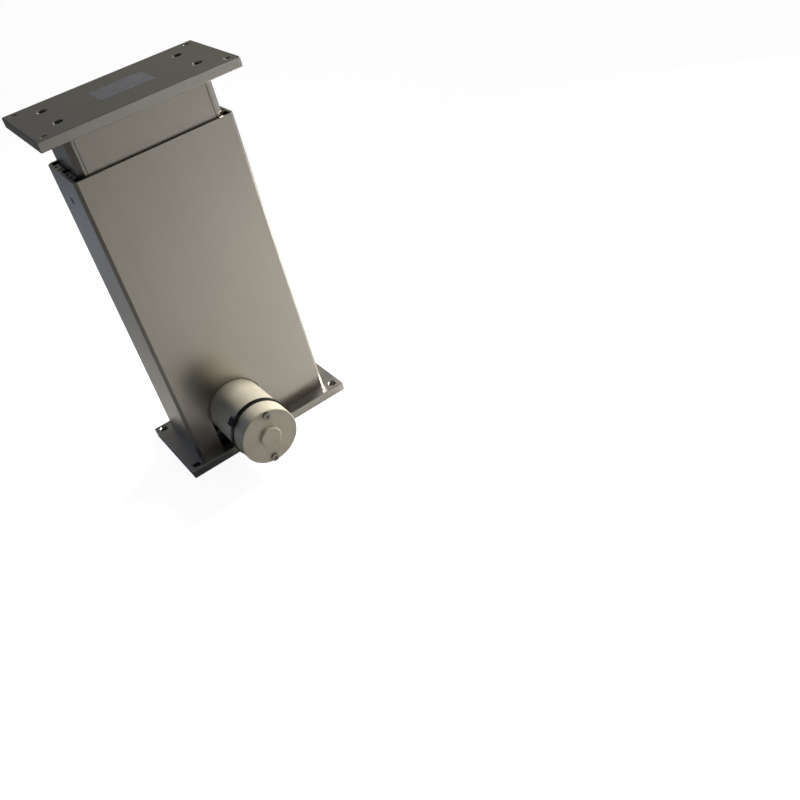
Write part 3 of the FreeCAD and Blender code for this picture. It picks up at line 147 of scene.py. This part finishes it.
# %% Anodised extruded aluminium
tree, shader = new_finish("anodised_aluminium_extruded", "anodised_aluminium")
die_lines = grains(tree, (0.9, 0.9, 500))
clouds = grains(tree, (60, 60, 120))
shade = add_node(tree, "ShaderNodeMath", {
    0: between(tree, die_lines, 0.35, 0.65), 1: between(tree, clouds, -0.2, 0.2)},
    operation="ADD", use_clamp=True)
tree.links.new(blend_colours(tree, shade.outputs[0], "#a7a39c", "#afaba4"),
               shader.inputs["Base Color"])
tree.links.new(between(tree, clouds, 0.285, 0.325), shader.inputs["Roughness"])
shader.inputs["Metallic"].default_value = 1.0
raise_surface(tree, shader, die_lines, 0.0015)

# %% [markdown]
# The plates are milled from thicker stock of the same metal. Milling leaves no long lines but a
# fine, even grain of about half a millimetre and faint cloudy patches. On the whole the plates
# are a little rougher than the tubes.

# %% Milled aluminium
tree, shader = new_finish("aluminium_milled", "machined_aluminium")
grit = grains(tree, (0.6, 0.6, 0.6))
patches = grains(tree, (30, 30, 30), detail=3.0)
shade = add_node(tree, "ShaderNodeMath", {
    0: between(tree, grit, 0.2, 0.8), 1: between(tree, patches, -0.25, 0.25)},
    operation="ADD", use_clamp=True)
tree.links.new(blend_colours(tree, shade.outputs[0], "#aaa8a3", "#b5b2ad"),
               shader.inputs["Base Color"])
tree.links.new(between(tree, patches, 0.285, 0.36), shader.inputs["Roughness"])
shader.inputs["Metallic"].default_value = 1.0
raise_surface(tree, shader, grit, 0.006)

# %% [markdown]
# The motor is steel, sprayed with a cream enamel. Sprayed paint is never quite flat: it has a
# slight orange peel, waves of a few millimetres that bend the highlights, and a little dust.

# %% Cream enamel
tree, shader = new_finish("enamel_sprayed_cream", "motor_paint")
peel = grains(tree, (2.5, 2.5, 2.5))
dust = grains(tree, (12, 12, 12), detail=4.0)
tree.links.new(blend_colours(tree, between(tree, dust, 0.0, 1.0), "#dbd6c5", "#d2ccb9"),
               shader.inputs["Base Color"])
tree.links.new(between(tree, dust, 0.285, 0.36), shader.inputs["Roughness"])
shader.inputs["IOR"].default_value = 1.5
raise_surface(tree, shader, peel, 0.02)

# %% [markdown]
# The remaining finishes are those of small or hidden parts. Each still has a grain of its own:
# plating is nearly smooth, castings are sandy, turned steel has rings, plastic has a fine
# texture from its mould.

# %% Metals of the small and hidden parts
ROUGHNESS_SPREAD = 0.05


def small_finish(slot, name, dark, light, roughness, grain_mm, depth_mm):
    """A finish with one grain, which changes its colour, its roughness and its height."""
    tree, shader = new_finish(name, slot)
    grain = grains(tree, grain_mm, detail=3.0)
    tree.links.new(blend_colours(tree, between(tree, grain, 0.0, 1.0), dark, light),
                   shader.inputs["Base Color"])
    tree.links.new(between(tree, grain, roughness - ROUGHNESS_SPREAD,
                           roughness + ROUGHNESS_SPREAD), shader.inputs["Roughness"])
    raise_surface(tree, shader, grain, depth_mm)
    return shader


def metal(*look):
    """A small finish that mirrors as metal does."""
    small_finish(*look).inputs["Metallic"].default_value = 1.0


metal("zinc_plated_steel", "steel_zinc_plated", "#a9abad", "#c4c6c8", 0.22, (1.5, 1.5, 1.5), 0.004)
metal("cast_aluminium", "aluminium_die_cast", "#8f9092", "#a3a4a6", 0.5, (0.9, 0.9, 0.9), 0.03)
metal("bearing_steel", "bearing_steel_ground", "#b4b6ba", "#c8cacd", 0.15, (0.5, 0.5, 0.5), 0.002)
metal("turned_steel", "steel_turned", "#85878a", "#9d9fa2", 0.3, (40, 40, 0.4), 0.01)
metal("bronze", "bronze_hobbed", "#a8763d", "#c09054", 0.32, (0.6, 0.6, 6), 0.01)
metal("copper", "copper_enamelled_wire", "#9c4f2a", "#b8683c", 0.3, (6, 0.5, 6), 0.08)
metal("laminated_steel", "steel_sheet_stacked", "#4a4b4d", "#6a6b6d", 0.5, (40, 0.5, 40), 0.05)
metal("ferrite", "ferrite_sintered", "#2b2b2d", "#3a3a3c", 0.6, (0.8, 0.8, 0.8), 0.02)


# %% Plastics and rubber
def plastic(*look):
    """A small finish with the gloss of plastic or rubber."""
    small_finish(*look).inputs["IOR"].default_value = 1.49


plastic("black_plastic", "nylon_moulded_black", "#0c0c0d", "#171718", 0.28, (0.8, 0.8, 0.8), 0.01)
plastic("glide_plastic", "acetal_moulded_black", "#151517", "#222224", 0.35, (0.8, 0.8, 0.8), 0.01)
plastic("nut_plastic", "acetal_turned_white", "#d9d9d0", "#e6e6de", 0.35, (20, 20, 0.4), 0.01)
plastic("black_rubber", "rubber_moulded", "#131313", "#212121", 0.7, (0.6, 0.6, 0.6), 0.03)
plastic("carbon", "carbon_pressed", "#17181a", "#2a2b2d", 0.6, (0.5, 0.5, 0.5), 0.02)

# %% [markdown]
# Every part of the model now gets its finish. The record says which slot each part has, so no
# list of parts is needed here.

# %% Dress the model
for part in frame["record"]["subparts"]:
    dressed = nodes[part["node"]]
    dressed.data.materials.clear()
    dressed.data.materials.append(finishes[part["material_slot"]])

# %% [markdown]
# Two sets of screws have a finish of their own. The four cap screws in the top plate are
# blackened: a thin dark oxide over steel, with an oily sheen. The two cross-head screws in the
# motor's end cap are taken to be nickel plated and polished, so they mirror the dark and the
# bright side of the room side by side.

# %% Screws with a finish of their own
metal("black_oxide", "steel_black_oxide", "#474748", "#59595a", 0.2, (0.6, 0.6, 0.6), 0.004)
metal("polished_nickel", "steel_nickel_polished", "#83817a", "#93918a", 0.1, (1.2, 1.2, 1.2), 0.002)
for node, finish in (("top_plate_screws", "black_oxide"), ("motor_cap_screws", "polished_nickel")):
    nodes[node].data.materials[0] = finishes[finish]
    print(node, "gets", finish)

# %% [markdown]
# A metal foil label sits near the middle of the top plate. It is left blank. It measures about
# 61 by 42 mm in the photograph, and its thickness, about a tenth of a millimetre, is a guess.
# It is a plane with its four corners bevelled round, and a Solidify modifier gives its thickness.

# %% Blank label
LABEL_PLACE = (2.5 * MM, 1.5 * MM)
LABEL_SIZE = (61 * MM, 42 * MM)
LABEL_CORNER = 2.5 * MM
LABEL_THICKNESS = 0.12 * MM


def only(obj):
    """Selects this object alone and makes it the active one."""
    bpy.ops.object.select_all(action="DESELECT")
    obj.select_set(True)
    bpy.context.view_layer.objects.active = obj


def settle(obj, name, body, slot, finish=None):
    """Names a finished piece, puts its place into its mesh and lets it ride on a body."""
    only(obj)
    obj.name = name
    bpy.ops.object.transform_apply(location=True, rotation=True, scale=True)
    obj.data.materials.clear()
    obj.data.materials.append(finishes[finish or slot])
    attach(obj, body)
    print("piece:", name, "with", len(obj.data.polygons), "faces")


def thicken(obj, thickness):
    """Gives a flat face its thickness, on the side that its normal points to."""
    only(obj)
    solid = obj.modifiers.new("solid", "SOLIDIFY")
    solid.thickness = thickness
    solid.offset = 1
    bpy.ops.object.modifier_apply(modifier="solid")


top_of_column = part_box("top_plate")[1][2]
bpy.ops.object.select_all(action="DESELECT")
bpy.ops.mesh.primitive_plane_add(size=1, location=(*LABEL_PLACE, top_of_column))
label = bpy.context.object
label.scale = (*LABEL_SIZE, 1)
bpy.ops.object.transform_apply(location=False, rotation=False, scale=True)
bpy.ops.object.mode_set(mode="EDIT")
bpy.ops.mesh.select_all(action="SELECT")
bpy.ops.mesh.bevel(offset=LABEL_CORNER, segments=5, affect="VERTICES")
bpy.ops.object.mode_set(mode="OBJECT")
thicken(label, LABEL_THICKNESS)

# %% Foil of the label
tree, shader = new_finish("foil_matt_silver", "label_foil")
fibre = grains(tree, (1.5, 0.5, 1.5), detail=3.0)
smudge = grains(tree, (14, 14, 14), detail=3.0)
tree.links.new(blend_colours(tree, between(tree, smudge, 0.0, 1.0), "#9a9ea7", "#a8abb4"),
               shader.inputs["Base Color"])
tree.links.new(between(tree, fibre, 0.4, 0.5), shader.inputs["Roughness"])
shader.inputs["Metallic"].default_value = 0.6
raise_surface(tree, shader, fibre, 0.006)
settle(label, "blank_label", "lift_stage", "machined_aluminium", "label_foil")

# %% [markdown]
# The four corner holes of the top plate are taken to be threaded M8. The model has them plain,
# so a thread is added as a ridge that winds through each hole: a triangle of metal, turned
# around the hole's axis by a Screw modifier that climbs by the pitch on each turn. The ridge's
# outer edge reaches into the plate, so no gap shows between the two.

# %% Threads of the corner holes
THREAD_PITCH = 1.25 * MM
THREAD_TURNS = 8
THREAD_STEPS = 20
THREAD_RADIUS = 3.3 * MM
THREAD_DEPTH = 0.5 * MM
RIDGE_RADIUS = 0.42 * MM
HOLE_INSET = 10 * MM
plate_low, plate_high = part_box("top_plate")


def copy_along(piece, steps):
    """Copies a piece by one step after another and joins all of them into one object."""
    copies = [piece]
    for step in steps:
        only(copies[-1])
        bpy.ops.object.duplicate_move(TRANSFORM_OT_translate={"value": step})
        copies.append(bpy.context.object)
    for copy in copies:
        copy.select_set(True)
    bpy.ops.object.join()
    return bpy.context.object


bpy.ops.object.select_all(action="DESELECT")
bpy.ops.mesh.primitive_circle_add(vertices=3, radius=RIDGE_RADIUS, fill_type="NGON",
                                  location=(0, 0, 0), rotation=(math.pi / 2, 0, 0))
ridge = bpy.context.object
bpy.ops.object.transform_apply(location=False, rotation=True, scale=False)
bpy.ops.object.mode_set(mode="EDIT")
bpy.ops.mesh.select_all(action="SELECT")
bpy.ops.transform.translate(value=(THREAD_RADIUS, 0, 0))
bpy.ops.object.mode_set(mode="OBJECT")
wind = ridge.modifiers.new("wind", "SCREW")
wind.axis = "Z"
wind.screw_offset = THREAD_PITCH
wind.iterations = THREAD_TURNS
wind.steps = THREAD_STEPS
wind.render_steps = THREAD_STEPS
bpy.ops.object.modifier_apply(modifier="wind")
bpy.ops.object.mode_set(mode="EDIT")
bpy.ops.mesh.select_all(action="SELECT")
bpy.ops.mesh.fill_holes(sides=3)
bpy.ops.mesh.normals_make_consistent(inside=False)
bpy.ops.object.mode_set(mode="OBJECT")
ridge.location = (plate_low[0] + HOLE_INSET, plate_low[1] + HOLE_INSET,
                  plate_high[2] - RIDGE_RADIUS - THREAD_DEPTH - THREAD_PITCH * THREAD_TURNS)
across = plate_high[0] - plate_low[0] - 2 * HOLE_INSET
deep = plate_high[1] - plate_low[1] - 2 * HOLE_INSET
threads = copy_along(ridge, ((across, 0, 0), (0, deep, 0), (-across, 0, 0)))
metal("cut_thread", "aluminium_thread_cut", "#cfcfcc", "#e2e2df", 0.14, (0.4, 0.4, 0.4), 0.006)
settle(threads, "top_plate_threads", "lift_stage", "machined_aluminium", "cut_thread")

# %% [markdown]
# The inner tube has a fine groove near each corner of its broad faces. In the photograph it
# reads as a thin dark line: the shade that falls into a narrow groove. So a near-black strip
# of painted shade, 0.2 mm thick, lies along the floor of each groove: a plane turned upright,
# scaled to a strip, thickened by the same modifier and copied to the other three grooves.

# %% Painted shade in the grooves
GROOVE_INSET = 9 * MM
GROOVE_DEPTH = 0.5 * MM
SHADE_STRIP_WIDTH = 0.66 * MM
SHADE_STRIP_THICKNESS = 0.2 * MM
SHADE_STRIP_END_GAP = 1 * MM
# Painted shade: a near-black finish for the strips that stand in for the shade in the grooves.
plastic("grease", "grease_dark", "#101011", "#1c1b19", 0.45, (3, 3, 12), 0.02)
tube_low, tube_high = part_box("inner_tube")
groove_x = tube_high[0] - GROOVE_INSET
floor_y = tube_high[1] - GROOVE_DEPTH
middle_z = (tube_low[2] + tube_high[2]) / 2

bpy.ops.object.select_all(action="DESELECT")
bpy.ops.mesh.primitive_plane_add(size=1, location=(-groove_x, -floor_y, middle_z),
                                 rotation=(math.pi / 2, 0, 0))
shade_strip = bpy.context.object
shade_strip.scale = (SHADE_STRIP_WIDTH, tube_high[2] - tube_low[2] - 2 * SHADE_STRIP_END_GAP, 1)
bpy.ops.object.transform_apply(location=False, rotation=True, scale=True)
thicken(shade_strip, SHADE_STRIP_THICKNESS)
back = 2 * floor_y + SHADE_STRIP_THICKNESS
shade_strips = copy_along(shade_strip, ((2 * groove_x, 0, 0), (0, back, 0), (-2 * groove_x, 0, 0)))
settle(shade_strips, "groove_painted_shade", "lift_stage", "black_rubber", "grease")

# %% [markdown]
# The camera stands where the photographer stood: in front and to the left of the column, about
# a metre away, looking down. Its place, its turn and its lens were worked out from the corners
# of both plates in the photograph.

# %% Camera
CAMERA_PLACE = (-0.2662, -0.9600, 0.7066)
CAMERA_TURN = (51.488, 11.970, -35.866)
CAMERA_LENS_MM = 42.03
CAMERA_SENSOR_MM = 36

bpy.ops.object.select_all(action="DESELECT")
bpy.ops.object.camera_add(location=CAMERA_PLACE,
                          rotation=[math.radians(angle) for angle in CAMERA_TURN])
camera = bpy.context.object
camera.data.sensor_width = CAMERA_SENSOR_MM
camera.data.lens = CAMERA_LENS_MM
camera.data.clip_start = 10 * MM
bpy.context.scene.camera = camera
print("camera lens:", camera.data.lens, "mm")

# %% [markdown]
# The column stands on a plain pale floor. The floor has some light of its own, which lifts its
# lit grey to white for the camera and for rays that pass through something. The column's soft
# shadow stays. Metal mirrors the floor with less of that light: none on the left, and more
# towards the window side. That gives each face of the column a tone of its own.

# %% Floor
FLOOR_SIZE = 14
FLOOR_DROP = 0.4 * MM
OWN_LIGHT = 0.9
SHEEN_START = -0.1
SHEEN_END = 0.8
SHEEN_MOST = 0.4


def seen_directly(tree, ray):
    """1 for rays from the camera and rays that pass through something, and 0 for the rest."""
    seen = add_node(tree, "ShaderNodeMath", {
        0: ray.outputs["Is Camera Ray"], 1: ray.outputs["Is Transmission Ray"]},
        operation="MAXIMUM")
    return seen.outputs[0]


bpy.ops.mesh.primitive_plane_add(size=FLOOR_SIZE, location=(0, 0, -FLOOR_DROP))
floor = bpy.context.object
floor.name = "floor"
floor_paint = bpy.data.materials.new("floor_matt_white")
floor_paint.use_nodes = True
tree = floor_paint.node_tree
tree.nodes.clear()
ray = add_node(tree, "ShaderNodeLightPath", {})
place = add_node(tree, "ShaderNodeTexCoord", {})
axes = add_node(tree, "ShaderNodeSeparateXYZ", {0: place.outputs["Object"]})
sheen = add_node(tree, "ShaderNodeMapRange", {
    "Value": axes.outputs["X"], "From Min": SHEEN_START, "From Max": SHEEN_END,
    "To Max": SHEEN_MOST})
mirrored = add_node(tree, "ShaderNodeMath", {
    0: ray.outputs["Is Glossy Ray"], 1: sheen.outputs["Result"]}, operation="MULTIPLY")
lift = add_node(tree, "ShaderNodeMath", {
    0: seen_directly(tree, ray), 1: OWN_LIGHT, 2: mirrored.outputs[0]},
    operation="MULTIPLY_ADD")
paint = add_node(tree, "ShaderNodeBsdfDiffuse", {"Color": srgb("#c8c8c6")})
glow = add_node(tree, "ShaderNodeEmission", {"Color": srgb("#ffffff"),
                                             "Strength": lift.outputs[0]})
both = add_node(tree, "ShaderNodeAddShader", {0: paint.outputs[0], 1: glow.outputs[0]})
add_node(tree, "ShaderNodeOutputMaterial", {"Surface": both.outputs[0]})
floor.data.materials.append(floor_paint)
print("floor size:", tuple(round(d, 1) for d in floor.dimensions))

# %% [markdown]
# The light in the photograph seems to come from a window high on the right: the top of the motor
# is bright, its left side is nearly black, and the left face of the column only gets a faint
# bluish light. Two warm lamps on the right stand in for the window. The first lights the column,
# and the second lights the floor that the metal mirrors. One weak cool lamp lights the floor at
# the back left. The room around is dim, cool on the left and warmer on the right. The camera
# sees a white backdrop in its place, and so do rays that pass through something.

# %% Light
ROOM_COOL_END = -0.35
ROOM_WARM_END = 0.55


def soft_lamp(name, place, aim, size, power, colour, spread):
    """A square lamp that points from its place at a target, with its beam's angle in degrees."""
    bpy.ops.object.light_add(type="AREA", location=place)
    lamp = bpy.context.object
    lamp.name = name
    lamp.data.size = size
    lamp.data.energy = power
    lamp.data.color = srgb(colour)[:3]
    lamp.data.spread = math.radians(spread)
    way = [a - p for a, p in zip(aim, place)]
    turn = math.atan2(way[0], -way[1])
    tilt = math.atan2(math.hypot(way[0], way[1]), -way[2])
    lamp.rotation_euler = (tilt, 0, turn + math.pi)
    print("lamp:", name, power, "W")


soft_lamp("window_right", (1.05, 0.02, 0.68), (0.2, -0.7, 0), 0.36, 15.5, "#fffaf3", 140)
soft_lamp("window_floor", (0.75, 0.45, 0.4), (0.4, 0.15, 0), 0.3, 2, "#fffbf6", 70)
soft_lamp("room_left", (-0.9, 0.9, 0.6), (-0.25, 0.75, 0), 0.5, 1.2, "#c0d0ee", 80)

world = bpy.data.worlds.new("room")
bpy.context.scene.world = world
world.use_nodes = True
tree = world.node_tree
sky = tree.nodes["Background"]
way = add_node(tree, "ShaderNodeTexCoord", {})
axes = add_node(tree, "ShaderNodeSeparateXYZ", {0: way.outputs["Generated"]})
side = add_node(tree, "ShaderNodeMapRange", {
    "Value": axes.outputs["X"], "From Min": ROOM_COOL_END, "From Max": ROOM_WARM_END})
tree.links.new(blend_colours(tree, side.outputs["Result"], "#3e4552", "#88847b"),
               sky.inputs["Color"])
backdrop = add_node(tree, "ShaderNodeBackground", {"Color": srgb("#ffffff")})
ray = add_node(tree, "ShaderNodeLightPath", {})
room = add_node(tree, "ShaderNodeMixShader", {
    0: seen_directly(tree, ray), 1: sky.outputs[0], 2: backdrop.outputs[0]})
tree.links.new(room.outputs[0], tree.nodes["World Output"].inputs["Surface"])
bpy.context.scene.view_settings.view_transform = "Standard"
